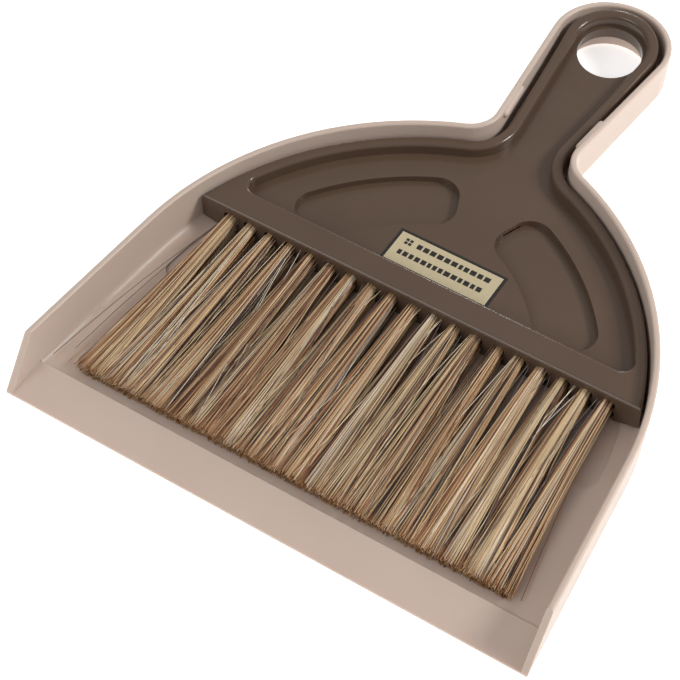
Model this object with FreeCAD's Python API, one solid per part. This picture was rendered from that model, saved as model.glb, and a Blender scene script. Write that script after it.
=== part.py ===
import FreeCAD, Part
import math
import os

# Dustpan with a bristle brush nested in it. Millimetres, +Z up, the front lip faces -Y.
# The origin is on the ground, under the middle of the whole set. A "depth" is measured
# from the front lip, and angles go round the centre of the right-hand bowl curve.

# ---- driving dimensions: dustpan ----
pan_width = 207.0            # across the front lip
pan_length = 271.0           # front lip to the end of the handle
neck_start = 5.8             # where the wall's top begins to drop, ahead of the bowl's far edge
side_flare = 4.9             # degrees, how far the side walls open towards the lip
bowl_radius = 121.0          # curve of the bowl on each side, at the top of the wall
bowl_depth = 67.8            # depth of that curve's centre
neck_radius = 11.0           # hollow curve between bowl and handle
handle_end_radius = 23.6     # round end of the handle
handle_taper = 5.6           # degrees, the handle widens towards its end
wall = 2.4                   # wall thickness
wall_height = 20.3           # ground to the top of the bowl wall
handle_wall_height = 17.0    # ground to the top of the wall at the handle's end
wall_draft = 3.2             # degrees, the walls lean out
wall_top_round = 0.9
knee_depth = 14.5            # depth of the top of a side wall's slanted front edge
lip_edge = 0.9               # thickness of the front lip
ramp_depth = 15.4            # depth of the ridge behind the ramp
ridge_step = 0.8             # drop from the ridge to the floor
floor_thickness = 1.8
foot_height = 1.0            # floor underside to the ground
foot_width = 15.0            # width of the long hollow that forms a foot
foot_margin = 6.5            # bowl wall to that hollow
foot_start = 1.5             # degrees
foot_end = 46.0
foot_corner = 5.0
corner_radius = 2.4          # between floor and wall inside
pan_hole_radius = 16.2
collar_wall = 1.5
collar_height = 5.2          # collar round the hanging hole, above the floor
snap_length = 14.0           # beads on the neck walls that steady the brush
snap_proud = 1.6
snap_radius = 1.6
snap_drop = 0.4              # top of the wall to the top of a bead
snap_depth = 200.0           # depth of the middle of a bead

# ---- driving dimensions: brush ----
bowl_gap = 1.5               # brush rim to the pan's bowl wall, at the top of the wall
handle_gap = 2.8             # the same along the handle
brush_neck_radius = 15.0
rest_gap = 0.3               # brush to what it stands on in the pan
rim_height = 15.4            # ground to the top of the brush's rim
rim_width = 4.4
rim_round = 1.4
hole_ledge = 1.4             # rim to the hanging hole
plate_drop = 4.9             # rim top to the plate
plate_thickness = 1.8
skirt_wall = 1.9
handle_rise = 3.2            # how far the brush handle curls up at its end
rise_run = 52.0              # length of the curl
bar_depth = 100.6            # depth of the bristle bar's front face
bar_thickness = 11.2
bar_end_slant = 8.0          # slanted lower corner at each end of the bar
bar_end_rise = 2.2
skirt_slope_run = 80.0       # the skirt's lower edge rises over this run behind the bar
recess_corner = 4.5
pocket_margin = 11.4         # rim to the outer edge of a kidney pocket
pocket_width = 23.0
pocket_drop = 2.6
pocket_start = 30.0          # degrees
pocket_end = 68.0
pocket_corner = 8.5

# ---- driving dimensions: tufts, anchors, label ----
tuft_columns = 19
tuft_diameter = 4.0
tuft_hole_gap = 0.15         # all round a tuft in its drilled hole
tuft_hole_length = 8.0
tuft_end_margin = 11.6       # middle of the end tuft to the end of the bar
row_floor = 0.45             # plastic left under the lower row of holes
row_web = 0.2                # plastic left between the two rows of holes
tuft_tip_thickness = 2.1
tuft_tip_gap = 0.35          # between neighbouring tufts, and between rows, at their tips
tip_floor_gap = 0.4          # lowest bristle tips to the floor
tip_ridge_gap = 3.2          # bristle tips to the ridge
end_splay = 3.6              # how much further out the end tufts' tips lie
anchor_bite = 0.6            # how far an anchor staple reaches into the bar on each side
anchor_wire = 0.5
anchor_length = 2.2          # along the tuft
anchor_backing = 1.2         # folded bristle behind the anchor
label_length = 44.0
label_width = 16.2
label_border = 1.1
label_thickness = 0.25
label_gap = 1.7              # bar to label

# ---- for cutting and for finding edges ----
cut_margin = 1.0
clear_height = 10.0
same_place = 1e-4
upright_spread = 1e-6

# ---- derived places ----
body_length = bowl_depth + bowl_radius - neck_start
row_spacing = tuft_diameter + 2.0 * tuft_hole_gap + row_web
lower_row_height = tuft_diameter / 2.0 + tuft_hole_gap + row_floor
lip = -pan_length / 2.0
pan_end = pan_length / 2.0
floor_top = foot_height + floor_thickness
ridge_top = floor_top + ridge_step
over = wall_height + clear_height    # above everything, for tools that cut from the top
flare = math.radians(side_flare)
taper = math.radians(handle_taper)
draft = math.tan(math.radians(wall_draft))
bowl_y = lip + bowl_depth
side_reach = bowl_radius * math.cos(flare) + (bowl_depth + bowl_radius * math.sin(flare)) * math.tan(flare)
bowl_x = pan_width / 2.0 + wall_height * draft - side_reach
hole_y = pan_end - handle_end_radius
collar_top = floor_top + collar_height
body_offset = wall + bowl_gap
handle_offset = wall + handle_gap
brush_bottom = floor_top + rest_gap
skirt_bottom = collar_top + rest_gap
skirt_start = floor_top + corner_radius + rest_gap    # clears the pan's rounded floor corner
bar_front = lip + bar_depth
bar_back = bar_front + bar_thickness
brush_end_radius = handle_end_radius - handle_offset
brush_end = hole_y + brush_end_radius
brush_hole_radius = brush_end_radius - rim_width - hole_ledge
plate_top = rim_height - plate_drop
plate_bottom = plate_top - plate_thickness
bar_half = bowl_x + math.sqrt((bowl_radius - body_offset) ** 2 - (bar_front - bowl_y) ** 2)
first_tuft_x = bar_half - tuft_end_margin
tuft_tip_y = lip + ramp_depth + tip_ridge_gap
lower_row_z = brush_bottom + lower_row_height
lower_tip_z = floor_top + tip_floor_gap + tuft_tip_thickness / 2.0
tip_row_spacing = tuft_tip_thickness + tuft_tip_gap
tuft_back = bar_front + tuft_hole_length
anchor_y = tuft_back - anchor_backing - anchor_length


def vec(x, y, z=0.0):
    return FreeCAD.Vector(x, y, z)


def line(a, b):
    return Part.LineSegment(a, b).toShape()


def arc(a, middle, b):
    return Part.Arc(a, middle, b).toShape()


def flip(point):
    return vec(-point.x, point.y, point.z)


def mirrored(solid):
    return solid.mirror(vec(0, 0, 0), vec(1, 0, 0))


def both_sides(solid):
    """A right-hand piece and its mirror image."""
    return [solid, mirrored(solid)]


def on_bowl(radius, angle, z=0.0):
    return vec(bowl_x + radius * math.cos(angle), bowl_y + radius * math.sin(angle), z)


def outline(z, bowl_inset, handle_inset, hollow_radius, front):
    """Bowl-and-handle outline at height z, drawn in from the pan's outer top edge."""
    r_bowl = bowl_radius - bowl_inset
    r_end = handle_end_radius - handle_inset
    centre = vec(bowl_x, bowl_y, z)
    outward = vec(math.cos(taper), -math.sin(taper))
    along = vec(math.sin(taper), math.cos(taper))
    handle_tip = vec(0, hole_y, z) + outward * r_end
    # the hollow curve's centre is hollow_radius off the handle's side and off the bowl
    reach = r_bowl + hollow_radius
    base = handle_tip + outward * hollow_radius - centre
    ahead = base.dot(along)
    back = ahead - math.sqrt(ahead ** 2 - base.dot(base) + reach ** 2)
    hollow_centre = centre + base - along * back
    bowl_end = centre + (hollow_centre - centre) * (r_bowl / reach)
    handle_start = hollow_centre - outward * hollow_radius
    inward = (bowl_end - hollow_centre) + (handle_start - hollow_centre)
    hollow_middle = hollow_centre + inward.normalize() * hollow_radius
    side_end = on_bowl(r_bowl, flare, z)
    right = []
    if front < side_end.y:
        corner = vec(side_end.x + (side_end.y - front) * math.tan(flare), front, z)
        right.append((corner, None, side_end))
        bowl_start_angle = flare
    else:
        bowl_start_angle = math.asin((front - bowl_y) / r_bowl)
        corner = on_bowl(r_bowl, bowl_start_angle, z)
        side_end = corner
    bowl_end_angle = math.atan2(bowl_end.y - bowl_y, bowl_end.x - bowl_x)
    right.append((side_end, on_bowl(r_bowl, (bowl_start_angle + bowl_end_angle) / 2.0, z), bowl_end))
    right.append((bowl_end, hollow_middle, handle_start))
    right.append((handle_start, None, handle_tip))
    edges = [arc(a, m, b) if m else line(a, b) for a, m, b in right]
    edges.append(arc(handle_tip, vec(0, hole_y + r_end, z), flip(handle_tip)))
    for a, m, b in reversed(right):
        edges.append(arc(flip(b), flip(m), flip(a)) if m else line(flip(b), flip(a)))
    edges.append(line(flip(corner), corner))
    return Part.Wire(edges)


def drafted(inset, z0, z1, front):
    """Bowl-and-handle solid whose sides lean out as the pan's walls do."""
    low = inset + (wall_height - z0) * draft
    high = inset + (wall_height - z1) * draft
    bottom = outline(z0, low, low, neck_radius + low, front)
    top = outline(z1, high, high, neck_radius + high, front)
    return Part.makeLoft([bottom, top], True, True)


def upright(inset, front, z0, z1):
    """Bowl-and-handle solid with upright sides, drawn in from the brush's outline."""
    wire = outline(z0, body_offset + inset, handle_offset + inset, brush_neck_radius + inset, front)
    return Part.Face(wire).extrude(vec(0, 0, z1 - z0))


def across(points):
    """Prism across X from a side view: (y, z) corners, or (middle, end) for an arc."""
    start = vec(-pan_width, *points[0])
    here = start
    edges = []
    for item in points[1:] + points[:1]:
        if isinstance(item[0], tuple):
            end = vec(-pan_width, *item[1])
            edges.append(arc(here, vec(-pan_width, *item[0]), end))
        else:
            end = vec(-pan_width, *item)
            edges.append(line(here, end))
        here = end
    return Part.Face(Part.Wire(edges)).extrude(vec(2.0 * pan_width, 0, 0))


def curled(height):
    """Side-view points along a brush surface: level, then curling up to the handle's end."""
    start = brush_end - rise_run
    middle = (brush_end - rise_run / 2.0, height + handle_rise / 4.0)
    return [(start, height), (middle, (brush_end, height + handle_rise))]


def ring_slot(r_outer, width, first, last, corner, z0, z1):
    """Slot that follows the right-hand bowl curve between two angles, with rounded ends."""
    r_inner = r_outer - width
    a = math.radians(first)
    b = math.radians(last)
    half = (a + b) / 2.0
    edges = [
        arc(on_bowl(r_outer, a, z0), on_bowl(r_outer, half, z0), on_bowl(r_outer, b, z0)),
        line(on_bowl(r_outer, b, z0), on_bowl(r_inner, b, z0)),
        arc(on_bowl(r_inner, b, z0), on_bowl(r_inner, half, z0), on_bowl(r_inner, a, z0)),
        line(on_bowl(r_inner, a, z0), on_bowl(r_outer, a, z0)),
    ]
    slot = Part.Face(Part.Wire(edges)).extrude(vec(0, 0, z1 - z0))
    return slot.makeFillet(corner, upright_edges(slot.Edges))


def upright_edges(edges):
    return [e for e in edges if e.BoundBox.XLength < upright_spread and e.BoundBox.YLength < upright_spread]


def flat_edges(edges, height):
    """Edges that lie level at a height."""
    boxes = [(e, e.BoundBox) for e in edges]
    return [e for e, b in boxes if max(abs(b.ZMin - height), abs(b.ZMax - height)) < same_place]


def round_post(radius, z0, z1):
    """Cylinder on the hanging holes' axis."""
    return Part.makeCylinder(radius, z1 - z0, vec(0, hole_y, z0))


def block(x0, x1, y0, y1, z0, z1):
    return Part.makeBox(x1 - x0, y1 - y0, z1 - z0, vec(x0, y0, z0))


# ---- dustpan ----
def foot(grow, z0, z1):
    """The hollow of the right-hand foot, or its outside when grown by the floor's thickness."""
    radius = bowl_radius - wall - wall_height * draft - foot_margin + grow
    return ring_slot(radius, foot_width + 2.0 * grow, foot_start, foot_end, foot_corner + grow, z0, z1)


def snap_bead():
    """Round bead along the inside of the right-hand neck wall."""
    y = lip + snap_depth
    tip_x = handle_end_radius * math.cos(taper)
    tip_y = hole_y - handle_end_radius * math.sin(taper)
    top = wall_top(y)
    wall_lean = (wall_height - top) * draft
    x = tip_x - (tip_y - y) * math.tan(taper) - wall - wall_lean - snap_proud + snap_radius
    bead = Part.makeCylinder(snap_radius, snap_length, vec(0, -snap_length / 2.0, 0), vec(0, 1, 0))
    for end in (-1, 1):
        bead = bead.fuse(Part.makeSphere(snap_radius, vec(0, end * snap_length / 2.0, 0)))
    bead.rotate(vec(0, 0, 0), vec(0, 0, 1), -handle_taper)
    bead.translate(vec(x, y, top - snap_drop - snap_radius))
    return bead


def wall_top(y):
    """Height of the pan's wall at y."""
    share = (y - lip - body_length) / (pan_length - body_length)
    return wall_height + (handle_wall_height - wall_height) * max(share, 0.0)


def wall_top_edges(pan):
    """Edges along the top of the pan's wall, behind the slanted fronts."""
    chosen = []
    for edge in pan.Edges:
        ends = [vertex.Point for vertex in edge.Vertexes]
        if all(abs(p.z - wall_top(p.y)) < same_place for p in ends) and edge.Length > 2.0 * wall:
            chosen.append(edge)
    return chosen


def make_dustpan():
    ramp_end = lip + ramp_depth
    before = lip - knee_depth
    outer = drafted(0.0, 0.0, over, lip)
    side_view = across([
        (lip, 0.0), (lip, lip_edge), (lip + knee_depth, wall_height), (lip + body_length, wall_height),
        (pan_end, handle_wall_height), (pan_end, foot_height), (ramp_end, foot_height),
    ])
    pan = outer.common(side_view).fuse(both_sides(foot(floor_thickness, 0.0, foot_height)))
    hollow = drafted(wall, floor_top, over, ramp_end)
    rounded = [e for e in flat_edges(hollow.Edges, floor_top) if e.BoundBox.YMax > ramp_end + cut_margin]
    hollow = hollow.makeFillet(corner_radius, rounded)
    rise = (ridge_top - lip_edge) / ramp_depth
    over_ramp = across([
        (before, lip_edge - knee_depth * rise), (ramp_end, ridge_top), (ramp_end, over), (before, over),
    ])
    mouth = drafted(wall, 0.0, over, before).common(over_ramp)
    pan = pan.cut([hollow, mouth]).removeSplitter()
    pan = pan.makeFillet(wall_top_round, wall_top_edges(pan))
    pan = pan.cut(both_sides(foot(0.0, floor_thickness, floor_top + corner_radius)))
    pan = pan.fuse(round_post(pan_hole_radius + collar_wall, floor_top, collar_top))
    pan = pan.cut(round_post(pan_hole_radius, 0.0, over))
    return pan.fuse(both_sides(snap_bead())).removeSplitter()


# ---- brush ----
def tuft_places():
    """(row, column, x and z at the bar, x and z at the tips) for every tuft."""
    pitch = 2.0 * first_tuft_x / (tuft_columns - 1)
    tip_pitch = pitch + 2.0 * end_splay / (tuft_columns - 1)
    places = []
    for row in range(2):
        for column in range(tuft_columns):
            step = column - (tuft_columns - 1) / 2.0
            root = (step * pitch, lower_row_z + row * row_spacing)
            tip = (step * tip_pitch, lower_tip_z + row * tip_row_spacing)
            places.append((row, column, root, tip, tip_pitch - tuft_tip_gap))
    return places


def pocket(grow, z0, z1):
    """The right-hand kidney pocket, or the outside of its dish when grown by the plate."""
    radius = bowl_radius - body_offset - rim_width - pocket_margin + grow
    width = pocket_width + 2.0 * grow
    return ring_slot(radius, width, pocket_start, pocket_end, pocket_corner + grow, z0, z1)


def anchor(root, reach):
    return block(root[0] - reach, root[0] + reach, anchor_y, anchor_y + anchor_length,
                 root[1] - anchor_wire / 2.0, root[1] + anchor_wire / 2.0)


def make_brush_body():
    slope_end = bar_back + skirt_slope_run
    side_view = across([
        (bar_front, brush_bottom), (bar_front, rim_height), *curled(rim_height), (brush_end, skirt_bottom),
        (slope_end, skirt_bottom), (bar_back, skirt_start), (bar_back, brush_bottom),
    ])
    dish_bottom = plate_top - pocket_drop - plate_thickness
    dishes = both_sides(pocket(plate_thickness, dish_bottom, plate_bottom))
    behind_bar = block(-pan_width, pan_width, bar_back, pan_end, 0.0, over)
    body = upright(0.0, bar_front, 0.0, over).common(side_view)
    # tray inside the rim
    tray = upright(rim_width, bar_back, 0.0, over)
    front_corners = [e for e in upright_edges(tray.Edges) if e.BoundBox.YMax < bar_back + cut_margin]
    tray = tray.makeFillet(recess_corner, front_corners)
    over_plate = across([
        (bar_back, plate_top), *curled(plate_top), (brush_end, over), (bar_back, over),
    ])
    body = body.cut(tray.common(over_plate))
    top_edges = [e for e in body.Edges if e.BoundBox.ZMin > rim_height - same_place]
    body = body.makeFillet(rim_round, top_edges)
    # hollow underside, with a tube left standing round the hanging hole
    under_plate = across([
        (bar_back, 0.0), (bar_back, plate_bottom), *curled(plate_bottom), (brush_end, 0.0),
    ])
    under = upright(skirt_wall, bar_back, 0.0, over).common(under_plate)
    under = under.cut(round_post(brush_hole_radius + skirt_wall, 0.0, over))
    body = body.cut(under.cut(dishes)).fuse([dish.common(behind_bar) for dish in dishes])
    for hollow in both_sides(pocket(0.0, plate_top - pocket_drop, plate_top + cut_margin)):
        body = body.cut(hollow.common(behind_bar))
    body = body.cut(round_post(brush_hole_radius, 0.0, over))
    # slanted lower corners at the ends of the bar
    for side in (-1, 1):
        corner = Part.makePolygon([
            vec(side * (bar_half - bar_end_slant), bar_front - cut_margin, brush_bottom - cut_margin),
            vec(side * (bar_half - bar_end_slant), bar_front - cut_margin, brush_bottom),
            vec(side * (bar_half + cut_margin), bar_front - cut_margin, brush_bottom + bar_end_rise),
            vec(side * (bar_half + cut_margin), bar_front - cut_margin, brush_bottom - cut_margin),
            vec(side * (bar_half - bar_end_slant), bar_front - cut_margin, brush_bottom - cut_margin),
        ])
        body = body.cut(Part.Face(corner).extrude(vec(0, bar_thickness + skirt_slope_run, 0)))
    drills = []
    for row, column, root, tip, tip_width in tuft_places():
        hole_radius = tuft_diameter / 2.0 + tuft_hole_gap
        place = vec(root[0], bar_front, root[1])
        drills.append(Part.makeCylinder(hole_radius, tuft_hole_length, place, vec(0, 1, 0)))
        drills.append(anchor(root, hole_radius + anchor_bite))
    return body.cut(drills)


def ellipse_wire(x, y, z, half_width, half_height):
    """Closed oval facing along Y."""
    centre = vec(x, y, z)
    oval = Part.Ellipse(vec(x + half_width, y, z), vec(x, y, z + half_height), centre)
    return Part.Wire(oval.toShape())


def make_tuft(root, tip, tip_width):
    radius = tuft_diameter / 2.0
    inside = Part.makeCylinder(radius, tuft_hole_length, vec(root[0], bar_front, root[1]), vec(0, 1, 0))
    start = Part.Wire(Part.Circle(vec(root[0], bar_front, root[1]), vec(0, 1, 0), radius).toShape())
    end = ellipse_wire(tip[0], tuft_tip_y, tip[1], tip_width / 2.0, tuft_tip_thickness / 2.0)
    fan = Part.makeLoft([start, end], True, True)
    tuft = fan.fuse(inside).removeSplitter()
    return tuft.cut(anchor(root, radius + tuft_hole_gap + anchor_bite))


def make_label(inset):
    y0 = bar_back + label_gap + inset
    y1 = bar_back + label_gap + label_width - inset
    half = label_length / 2.0 - inset
    return block(-half, half, y0, y1, plate_top, plate_top + label_thickness)


# ---- write one file per piece ----
os.makedirs("parts", exist_ok=True)
pieces = {"dustpan": make_dustpan(), "brush_body": make_brush_body()}
anchors = []
for row, column, root, tip, tip_width in tuft_places():
    name = "tuft_{}_{:02d}".format(("lower", "upper")[row], column + 1)
    pieces[name] = make_tuft(root, tip, tip_width)
    anchors.append(anchor(root, tuft_diameter / 2.0 + tuft_hole_gap + anchor_bite))
pieces["tuft_anchors"] = Part.makeCompound(anchors)
pieces["label_face"] = make_label(label_border)
pieces["label_border"] = make_label(0.0).cut(make_label(label_border))
for name, shape in pieces.items():
    shape.exportStep("parts/" + name + ".step")
    print(name, shape.isValid(), len(shape.Solids), round(shape.Volume, 1))
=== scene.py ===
import math
import random
import bpy
import bmesh
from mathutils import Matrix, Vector


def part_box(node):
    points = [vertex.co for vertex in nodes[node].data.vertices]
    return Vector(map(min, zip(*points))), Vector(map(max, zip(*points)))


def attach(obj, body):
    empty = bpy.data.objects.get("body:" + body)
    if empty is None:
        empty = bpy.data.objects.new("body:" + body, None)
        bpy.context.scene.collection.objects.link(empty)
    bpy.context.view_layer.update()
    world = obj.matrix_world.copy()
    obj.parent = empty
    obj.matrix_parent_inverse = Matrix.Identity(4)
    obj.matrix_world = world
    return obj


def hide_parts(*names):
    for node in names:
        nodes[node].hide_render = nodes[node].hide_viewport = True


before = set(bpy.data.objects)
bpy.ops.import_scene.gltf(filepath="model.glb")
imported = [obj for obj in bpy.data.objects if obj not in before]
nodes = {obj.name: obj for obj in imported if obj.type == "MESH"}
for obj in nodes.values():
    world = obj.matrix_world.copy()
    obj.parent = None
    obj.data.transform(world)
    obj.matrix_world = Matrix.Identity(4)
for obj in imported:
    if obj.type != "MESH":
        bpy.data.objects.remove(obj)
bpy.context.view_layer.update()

# ---- dustpan ----
# One moulding in pinkish beige polypropylene, a little translucent, so light warms it
# where it is thin or shaded. The mould leaves a satin face, with long faint draw lines.
MM = 0.001
pan_clouds = 22.0              # per metre: uneven colour, about 45 mm across
pan_grain = 1600.0             # per metre: the mould's grain
pan_lines = (900.0, 14.0, 900.0)    # per metre: close together across, long along Y
grain_depth = 0.2 * MM


def colour(hex_text):
    """sRGB hex to the linear RGBA that the shaders take."""
    parts = [int(hex_text[i:i + 2], 16) / 255.0 for i in (1, 3, 5)]
    return [c / 12.92 if c <= 0.04045 else ((c + 0.055) / 1.055) ** 2.4 for c in parts] + [1.0]


def add(tree, kind, settings=(), **links):
    """Adds a node. Settings are (name, value) pairs; a link's name is an input's label or i and number."""
    node = tree.nodes.new(kind)
    for name, value in settings:
        setattr(node, name, value)
    for name, value in links.items():
        key = int(name[1:]) if name[0] == "i" and name[1:].isdigit() else name.replace("_", " ")
        socket = node.inputs[key]
        if isinstance(value, bpy.types.NodeSocket):
            tree.links.new(value, socket)
        else:
            socket.default_value = value
    return node


def material(name):
    """New material; returns it, its tree, its shader and the object coordinates."""
    made = bpy.data.materials.new(name)
    made.use_nodes = True
    tree = made.node_tree
    tree.nodes.clear()
    shader = tree.nodes.new("ShaderNodeBsdfPrincipled")
    out = tree.nodes.new("ShaderNodeOutputMaterial")
    tree.links.new(shader.outputs["BSDF"], out.inputs["Surface"])
    return made, tree, shader, add(tree, "ShaderNodeTexCoord").outputs["Object"]


def noise(tree, place, per_metre, detail=2.0):
    return add(tree, "ShaderNodeTexNoise", Vector=place, Scale=per_metre, Detail=detail).outputs["Fac"]


def two_tone(tree, shader, share, low, high):
    """Colours the shader between two hex colours."""
    mixed = add(tree, "ShaderNodeMix", [("data_type", "RGBA")], i0=share, i6=colour(low), i7=colour(high))
    tree.links.new(mixed.outputs[2], shader.inputs["Base Color"])


def roughen(tree, shader, value, low, high):
    """Roughness from low to high as a pattern goes from 0 to 1."""
    ranged = add(tree, "ShaderNodeMapRange", i0=value, i3=low, i4=high)
    tree.links.new(ranged.outputs[0], shader.inputs["Roughness"])


def moulded_grain(tree, shader, height, strength):
    relief = add(tree, "ShaderNodeBump", Height=height, Strength=strength, Distance=grain_depth)
    tree.links.new(relief.outputs[0], shader.inputs["Normal"])


def wear(node_name, made):
    """Gives a CAD node's object this material in each of its slots."""
    slots = nodes[node_name].material_slots
    if not slots:
        nodes[node_name].data.materials.append(made)
    for slot in slots:
        slot.material = made


polypropylene, tree, shader, place = material("pan_polypropylene_satin_moulded")
two_tone(tree, shader, noise(tree, place, pan_clouds), "#c4b1a3", "#d0bdb0")
drawn = add(tree, "ShaderNodeMapping", Vector=place, Scale=pan_lines).outputs[0]
roughen(tree, shader, noise(tree, drawn, 1.0, 3.0), 0.34, 0.48)
moulded_grain(tree, shader, noise(tree, place, pan_grain), 0.05)
shader.inputs["IOR"].default_value = 1.49
shader.inputs["Subsurface Weight"].default_value = 0.3
shader.inputs["Subsurface Radius"].default_value = (1.0, 0.68, 0.48)
shader.inputs["Subsurface Scale"].default_value = 2.2 * MM
wear("dustpan", polypropylene)

# ---- brush body ----
# One moulding in taupe brown polypropylene, glossier than the pan: its polished mould
# shows as bright lines along the rim. Fine dust and rubs vary the gloss.
body_clouds = 30.0             # per metre
body_rubs = 240.0              # per metre: rubs about 4 mm across
body_grain = 1400.0            # per metre
taupe, tree, shader, place = material("brush_polypropylene_gloss_moulded")
two_tone(tree, shader, noise(tree, place, body_clouds, 3.0), "#554336", "#614e40")
roughen(tree, shader, noise(tree, place, body_rubs, 4.0), 0.16, 0.27)
moulded_grain(tree, shader, noise(tree, place, body_grain), 0.04)
shader.inputs["IOR"].default_value = 1.49
wear("brush_body", taupe)

# ---- tuft anchors ----
# Short flat steel wires driven in across each folded tuft, out of sight in the bar.
wire_marks = 3000.0            # per metre
wire, tree, shader, place = material("anchor_steel_wire_drawn")
marks = noise(tree, place, wire_marks)
two_tone(tree, shader, marks, "#a8a6a2", "#c4c2be")
roughen(tree, shader, marks, 0.25, 0.4)
shader.inputs["Metallic"].default_value = 1.0
wear("tuft_anchors", wire)

# ---- bristles ----
# Bundles of loose synthetic fibre, cut to one length, in mixed cream, tan, rust, grey and
# dark brown. Each is folded into its hole, round at the root and fanned out by use.
tufts = 19
end_column = (tufts - 1) / 2.0
root_pitch = 8.556 * MM        # between bundles at the bar; the CAD's tufts stand 0.13 mm further apart
root_radius = 2.0 * MM
row_fan = 3.6 * MM             # how far the end tuft's tip leans out, past its root
tip_half_height = 1.05 * MM
bar_gap = 1.5 * MM             # from the bar's front face back into the hole
upper_root_z = 10.2 * MM
lower_root_z = 5.7 * MM
row_looks = {"upper": (225, upper_root_z, 11), "lower": (170, lower_root_z, 12)}    # fibres, height, seed
fibre_streaks = 700.0          # per metre
fibre_colours = [(0.0, "#1c1411"), (0.17, "#40291d"), (0.25, "#6e4730"), (0.33, "#9c6440"), (0.41, "#b98a62"),
                 (0.49, "#cdab80"), (0.60, "#e0c79e"), (0.76, "#857b70"), (0.82, "#e2d6c4")]

fibre_stuff, tree, shader, place = material("bristle_fibre_mixed_extruded")
tone = add(tree, "ShaderNodeAttribute", [("attribute_name", "fibre_tone")]).outputs["Fac"]
along = add(tree, "ShaderNodeAttribute", [("attribute_name", "fibre_along")]).outputs["Fac"]
ramp = add(tree, "ShaderNodeValToRGB", Fac=tone)
ramp.color_ramp.interpolation = "CONSTANT"
ramp.color_ramp.elements[0].color = colour(fibre_colours[0][1])
ramp.color_ramp.elements[1].position = fibre_colours[-1][0]
ramp.color_ramp.elements[1].color = colour(fibre_colours[-1][1])
for position, text in fibre_colours[1:-1]:
    ramp.color_ramp.elements.new(position).color = colour(text)
worn_end = add(tree, "ShaderNodeMapRange", i0=along, i1=0.93, i2=1.0, i3=0.0, i4=0.55).outputs[0]
tipped = add(tree, "ShaderNodeMix", [("data_type", "RGBA")],
             i0=worn_end, i6=ramp.outputs["Color"], i7=colour("#9c6d40"))
tree.links.new(tipped.outputs[2], shader.inputs["Base Color"])
roughen(tree, shader, noise(tree, place, fibre_streaks), 0.38, 0.56)
shader.inputs["IOR"].default_value = 1.5


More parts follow.
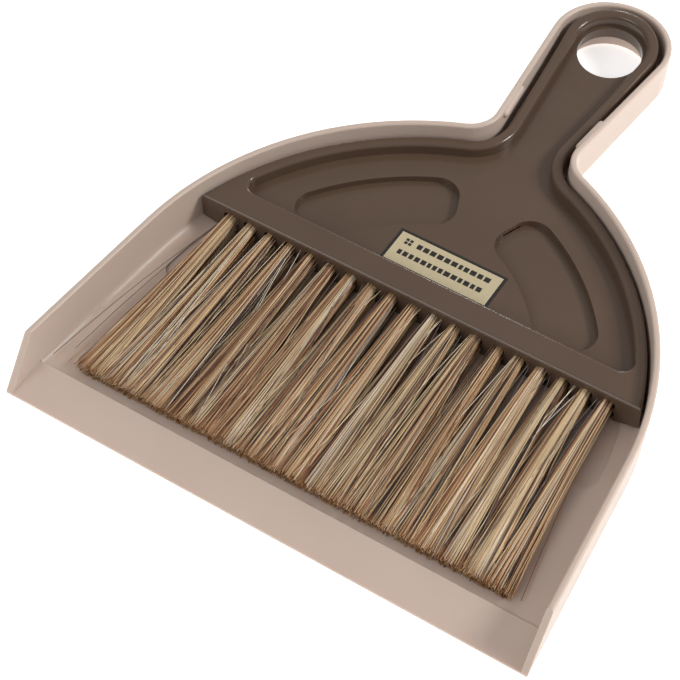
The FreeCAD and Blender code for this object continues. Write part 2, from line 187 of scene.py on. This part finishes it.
def fibre_tree():
    """Fibres for one row of tufts, as tubes from the bar to the fanned tips."""
    stray_power = 6.0          # most fibres hardly wander, a few wander far
    fan_power = 1.5            # a fibre leaves the bar straight and turns out later
    swell = 0.2                # the bundle opens by this share
    swell_end = 0.2            # over this share of its length
    bow_most = 0.6 * MM
    sectors = 6.0              # clumps of one tone in each tuft
    own_share = 0.62           # of a fibre's tone; the rest is its clump's
    tree = bpy.data.node_groups.new("tuft_row_fibres", "GeometryNodeTree")
    face = tree.interface
    counts = ("Tufts", "Fibres per tuft", "Points per fibre", "Seed")
    lengths = ("Root pitch", "Tip pitch", "Root radius", "Tip half width", "Tip half height",
               "Root y", "Tip y", "Root z", "Tip z", "Fibre radius", "Length spread", "Stray")
    face.new_socket("Geometry", in_out="INPUT", socket_type="NodeSocketGeometry")
    for name in counts:
        face.new_socket(name, in_out="INPUT", socket_type="NodeSocketInt")
    for name in lengths:
        face.new_socket(name, in_out="INPUT", socket_type="NodeSocketFloat")
    face.new_socket("Fibre material", in_out="INPUT", socket_type="NodeSocketMaterial")
    face.new_socket("Geometry", in_out="OUTPUT", socket_type="NodeSocketGeometry")
    given = tree.nodes.new("NodeGroupInput").outputs
    per = given["Points per fibre"]

    def calc(operation, a, b=0.0):
        return add(tree, "ShaderNodeMath", [("operation", operation)], i0=a, i1=b).outputs[0]

    def plus(a, b):
        return calc("ADD", a, b)

    def minus(a, b):
        return calc("SUBTRACT", a, b)

    def times(a, b):
        return calc("MULTIPLY", a, b)

    def between(a, b, share):
        return plus(a, times(minus(b, a), share))

    def group_of(item, size):
        """Which group of this size an index falls in."""
        return calc("FLOOR", calc("DIVIDE", plus(item, 0.5), size))

    def random_value(low, high, item, seed):
        return add(tree, "FunctionNodeRandomValue", [("data_type", "FLOAT")],
                   i2=low, i3=high, ID=item, Seed=seed).outputs[1]

    def chance(low, high, salt):
        return random_value(low, high, fibre, plus(given["Seed"], float(salt)))

    total = times(given["Tufts"], given["Fibres per tuft"])
    sheet = add(tree, "GeometryNodeMeshGrid", Size_X=1.0, Size_Y=1.0, Vertices_X=total, Vertices_Y=per)
    index = add(tree, "GeometryNodeInputIndex").outputs[0]
    fibre = group_of(index, per)
    s = calc("DIVIDE", minus(index, times(fibre, per)), minus(per, 1.0))
    tuft = group_of(fibre, given["Fibres per tuft"])
    column = minus(tuft, times(minus(given["Tufts"], 1.0), 0.5))
    # each fibre keeps its place in the bundle, from a round root to a flat fan
    turn = chance(0.0, 2.0 * math.pi, 1)
    out = calc("SQRT", chance(0.0, 1.0, 2))
    u = times(out, calc("COSINE", turn))
    v = times(out, calc("SINE", turn))
    wander = times(calc("POWER", chance(0.0, 1.0, 3), stray_power), chance(-1.0, 1.0, 4))
    opened = plus(1.0, times(calc("MINIMUM", times(s, 1.0 / swell_end), 1.0), swell))
    bundle = times(given["Root radius"], opened)
    root_x = plus(times(column, given["Root pitch"]), times(u, bundle))
    tip_x = plus(times(column, given["Tip pitch"]), times(u, given["Tip half width"]))
    tip_x = plus(tip_x, times(wander, given["Stray"]))
    root_z = plus(given["Root z"], times(v, bundle))
    tip_z = plus(given["Tip z"], times(v, given["Tip half height"]))
    end_y = plus(given["Tip y"], times(chance(0.0, 1.0, 5), given["Length spread"]))
    bow = times(calc("SINE", times(s, math.pi)), chance(-bow_most, bow_most, 6))
    x = plus(between(root_x, tip_x, calc("POWER", s, fan_power)), bow)
    y = between(given["Root y"], end_y, s)
    z = between(root_z, tip_z, s)
    where = add(tree, "ShaderNodeCombineXYZ", X=x, Y=y, Z=z).outputs[0]
    # only the edges that run along a fibre stay
    ends = add(tree, "GeometryNodeInputMeshEdgeVertices")
    apart = minus(group_of(ends.outputs[0], per), group_of(ends.outputs[1], per))
    crosses = calc("GREATER_THAN", calc("ABSOLUTE", apart), 0.5)
    # a fibre's tone is partly its own and partly that of the clump it lies in
    clump = plus(times(tuft, sectors), calc("FLOOR", times(turn, sectors / (2.0 * math.pi))))
    clump_tone = random_value(0.0, 1.0, clump, given["Seed"])
    mixed_tone = plus(times(chance(0.0, 1.0, 7), own_share), times(clump_tone, 1.0 - own_share))
    on_points = [("data_type", "FLOAT"), ("domain", "POINT")]
    tone = add(tree, "GeometryNodeStoreNamedAttribute", on_points,
               Geometry=sheet.outputs[0], Name="fibre_tone", i3=mixed_tone)
    along = add(tree, "GeometryNodeStoreNamedAttribute", on_points,
                Geometry=tone.outputs[0], Name="fibre_along", i3=s)
    moved = add(tree, "GeometryNodeSetPosition", Geometry=along.outputs[0], Position=where)
    strands = add(tree, "GeometryNodeDeleteGeometry", [("domain", "EDGE"), ("mode", "EDGE_FACE")],
                  Geometry=moved.outputs[0], Selection=crosses)
    curves = add(tree, "GeometryNodeMeshToCurve", Mesh=strands.outputs[0])
    ring = add(tree, "GeometryNodeCurvePrimitiveCircle", [("mode", "RADIUS")],
               Resolution=4, Radius=given["Fibre radius"])
    tubes = add(tree, "GeometryNodeCurveToMesh",
                Curve=curves.outputs[0], Profile_Curve=ring.outputs[0], Fill_Caps=True)
    real = add(tree, "GeometryNodeRealizeInstances", Geometry=tubes.outputs[0])
    dressed = add(tree, "GeometryNodeSetMaterial", Geometry=real.outputs[0], Material=given["Fibre material"])
    end = tree.nodes.new("NodeGroupOutput")
    tree.links.new(dressed.outputs[0], end.inputs[0])
    return tree


def row_of_fibres(name, tree, values):
    """Runs the tree once and keeps its result as a plain mesh."""
    holder = bpy.data.objects.new(name + "_maker", bpy.data.meshes.new(name + "_maker"))
    bpy.context.collection.objects.link(holder)
    run = holder.modifiers.new("fibres", "NODES")
    run.node_group = tree
    for item in tree.interface.items_tree:
        if item.item_type == "SOCKET" and item.in_out == "INPUT" and item.name in values:
            run[item.identifier] = values[item.name]
    bpy.context.view_layer.update()
    evaluated = holder.evaluated_get(bpy.context.evaluated_depsgraph_get())
    mesh = bpy.data.meshes.new_from_object(evaluated)
    mesh.name = name
    bpy.data.objects.remove(holder)
    piece = bpy.data.objects.new(name, mesh)
    bpy.context.collection.objects.link(piece)
    return piece


bar_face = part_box("brush_body")[0].y
end_tuft = {row: [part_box("tuft_%s_%02d" % (row, n)) for n in (1, tufts)] for row in row_looks}
tip_pitch = root_pitch + row_fan / end_column
fibres = fibre_tree()
for row, (count, root_z, seed) in row_looks.items():
    first, last = end_tuft[row]
    values = {
        "Tufts": tufts, "Fibres per tuft": count, "Points per fibre": 6, "Seed": seed,
        "Root pitch": root_pitch, "Tip pitch": tip_pitch, "Root radius": root_radius,
        "Tip half width": (last[1].x - first[0].x) / 2.0 - end_column * tip_pitch,
        "Tip half height": tip_half_height, "Root y": bar_face + bar_gap, "Tip y": first[0].y,
        "Root z": root_z, "Tip z": first[0].z + tip_half_height,
        "Fibre radius": 0.14 * MM, "Length spread": 2.4 * MM, "Stray": 7.0 * MM,
        "Fibre material": fibre_stuff,
    }
    piece = row_of_fibres("bristles_" + row, fibres, values)
    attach(piece, "brush")
    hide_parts(*["tuft_%s_%02d" % (row, n) for n in range(1, tufts + 1)])

# ---- stray fibres ----
# Fibres that use has worked loose: some lie across the rows, and the left-hand end tuft is
# splayed towards the pan's wall, with two long thin ones that nearly reach it.
splayed_count = 90
crossing_count = 46
splayed_radius = 0.12 * MM
long_radius = 0.13 * MM
crossing_radius = 0.1 * MM
bends = 6
sides = 3
bar_half = end_column * root_pitch
tip_front = end_tuft["upper"][0][0].y
picker = random.Random(17)
strays = bmesh.new()
tone_layer = strays.verts.layers.float.new("fibre_tone")
along_layer = strays.verts.layers.float.new("fibre_along")


def stray_fibre(root, tip, sag, radius, tone):
    """One bent fibre, closed at both ends."""
    rings = []
    for k in range(bends + 1):
        s = k / bends
        middle = root.lerp(tip, s) + Vector((sag * math.sin(math.pi * s), 0.0, 0.0))
        ring = []
        for corner in range(sides):
            turn = 2.0 * math.pi * corner / sides
            vert = strays.verts.new(middle + Vector((math.cos(turn), 0.0, math.sin(turn))) * radius)
            vert[tone_layer] = tone
            vert[along_layer] = s
            ring.append(vert)
        rings.append(ring)
    for a, b in zip(rings, rings[1:]):
        for k in range(sides):
            strays.faces.new((a[k], a[(k + 1) % sides], b[(k + 1) % sides], b[k]))
    strays.faces.new(rings[0][::-1])
    strays.faces.new(rings[-1])


def spot(x, y, z):
    """A point from metres along X and Y and a height in millimetres."""
    return Vector((x, y, z * MM))


for n in range(splayed_count):
    root = spot(-bar_half + picker.uniform(-2.0, 1.0) * MM, bar_face, 10.2 + picker.uniform(-1.6, 1.8))
    spread = picker.random() ** 1.4
    tip_y = tip_front + picker.uniform(0.0, 3.0) * MM
    tip = spot(-bar_half - (4.5 + 6.5 * spread) * MM, tip_y, picker.uniform(4.2, 7.4))
    stray_fibre(root, tip, picker.uniform(-0.4, 0.5) * MM, splayed_radius, picker.random() * 0.85)
for reach, back in ((19.5, 0.0), (14.5, 6.0)):
    root = spot(-bar_half - 1.5 * MM, bar_face, 10.6)
    tip = spot(-bar_half - reach * MM, tip_front + back * MM, 6.4)
    stray_fibre(root, tip, -1.2 * MM, long_radius, 0.2)
for n in range(crossing_count):
    x = picker.uniform(-bar_half, bar_half)
    root = spot(x, bar_face, picker.uniform(10.8, 12.2))
    slant = picker.choice((-1.0, 1.0)) * picker.uniform(4.0, 13.0) * MM
    end_x = min(max(x + slant, -bar_half), bar_half)
    tip_y = tip_front + picker.uniform(0.0, 18.0) * MM
    tip = spot(end_x, tip_y, picker.uniform(7.2, 8.6))
    sag = picker.uniform(-1.5, 1.5) * MM
    stray_fibre(root, tip, sag, crossing_radius, picker.choice((0.05, 0.2, 0.7, 0.9)))
bmesh.ops.recalc_face_normals(strays, faces=strays.faces)
mesh = bpy.data.meshes.new("bristles_stray")
strays.to_mesh(mesh)
strays.free()
mesh.materials.append(fibre_stuff)
stray_piece = bpy.data.objects.new("bristles_stray", mesh)
bpy.context.collection.objects.link(stray_piece)
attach(stray_piece, "brush")

# ---- label ----
# A printed film sticker: cream face, near-black border. Its print is only plain bars and
# four small squares, and says nothing.
print_height = 0.03 * MM
bar_tall = 2.2 * MM
bar_space = 0.7 * MM
row_reach = 36.0 * MM
square = 1.2 * MM
square_step = 1.6 * MM
film, tree, shader, place = material("label_film_cream_printed")
fleck = noise(tree, place, 500.0, 4.0)
two_tone(tree, shader, fleck, "#bdae8c", "#c9bb99")
roughen(tree, shader, fleck, 0.42, 0.52)
wear("label_face", film)
ink, tree, shader, place = material("label_ink_black_printed")
fleck = noise(tree, place, 800.0)
two_tone(tree, shader, fleck, "#161412", "#23201d")
roughen(tree, shader, fleck, 0.38, 0.5)
wear("label_border", ink)
low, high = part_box("label_face")
prints = bmesh.new()


def printed(x, y, wide, tall):
    """A thin raised rectangle of ink on the label's face."""
    corners = [(x, y), (x + wide, y), (x + wide, y + tall), (x, y + tall)]
    lower = [prints.verts.new((a, b, high.z)) for a, b in corners]
    upper = [prints.verts.new((a, b, high.z + print_height)) for a, b in corners]
    prints.faces.new(upper)
    prints.faces.new(lower[::-1])
    for k in range(4):
        prints.faces.new((lower[k], lower[(k + 1) % 4], upper[(k + 1) % 4], upper[k]))


picker = random.Random(5)
for y, inset in ((high.y - 4.6 * MM, 8.0 * MM), (low.y + 4.0 * MM, 3.0 * MM)):
    x = low.x + inset
    while x < low.x + inset + row_reach - 2.0 * MM and x < high.x - 4.0 * MM:
        wide = picker.uniform(1.4, 2.4) * MM
        printed(x, y, wide, bar_tall)
        x += wide + bar_space
for across, down in ((0, 0), (0, 1), (1, 0), (1, 1)):
    x = low.x + 3.0 * MM + across * square_step
    y = high.y - 4.8 * MM + down * square_step
    printed(x, y, square, square)
mesh = bpy.data.meshes.new("label_print")
prints.to_mesh(mesh)
prints.free()
mesh.materials.append(ink)
label_print = bpy.data.objects.new("label_print", mesh)
bpy.context.collection.objects.link(label_print)
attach(label_print, "brush")

# ---- floor, light and camera ----
# A plain white floor and large soft lights, with the strongest on the right. The floor
# gives a little light of its own, so that it stays white round the object.
half = 3.0
floor_z = -0.2 * MM
eye_distance = 750.0 * MM
azimuth = math.radians(32.42)
elevation = math.radians(52.69)
target = Vector((-18.1, -54.1, 0.0)) * MM
ground = bpy.data.meshes.new("studio_floor")
corners = [(-half, -half, floor_z), (half, -half, floor_z), (half, half, floor_z), (-half, half, floor_z)]
ground.from_pydata(corners, [], [(0, 1, 2, 3)])
floor = bpy.data.objects.new("studio_floor", ground)
bpy.context.collection.objects.link(floor)
paper, tree, shader, place = material("studio_floor_white_paper")
shader.inputs["Base Color"].default_value = colour("#fafafa")
shader.inputs["Roughness"].default_value = 0.9
shader.inputs["Emission Color"].default_value = (1.0, 1.0, 1.0, 1.0)
shader.inputs["Emission Strength"].default_value = 0.55
floor.data.materials.append(paper)

world = bpy.data.worlds.new("studio")
bpy.context.scene.world = world
world.use_nodes = True
world.node_tree.nodes["Background"].inputs["Color"].default_value = (1.0, 1.0, 1.0, 1.0)
world.node_tree.nodes["Background"].inputs["Strength"].default_value = 0.42


def soft_light(name, place, size, power):
    lamp = bpy.data.lights.new(name, "AREA")
    lamp.size = size
    lamp.energy = power
    holder = bpy.data.objects.new(name, lamp)
    holder.location = place
    holder.rotation_euler = (-Vector(place)).to_track_quat("-Z", "Y").to_euler()
    bpy.context.collection.objects.link(holder)


soft_light("key_right", (0.85, 0.45, 0.75), 0.3, 8.5)
soft_light("rim_strip", (-0.3, 0.9, 0.5), 0.1, 0.9)
soft_light("fill_front", (-0.4, -0.9, 0.8), 0.8, 4.5)
bpy.context.scene.view_settings.view_transform = "Standard"

eye = bpy.data.cameras.new("camera")
eye.lens = 112.2
eye.sensor_width = 36.0
level = math.cos(elevation)
away = Vector((math.sin(azimuth) * level, -math.cos(azimuth) * level, math.sin(elevation)))
camera = bpy.data.objects.new("camera", eye)
camera.location = target + away * eye_distance
camera.rotation_euler = (-away).to_track_quat("-Z", "Y").to_euler()
bpy.context.collection.objects.link(camera)
bpy.context.scene.camera = camera
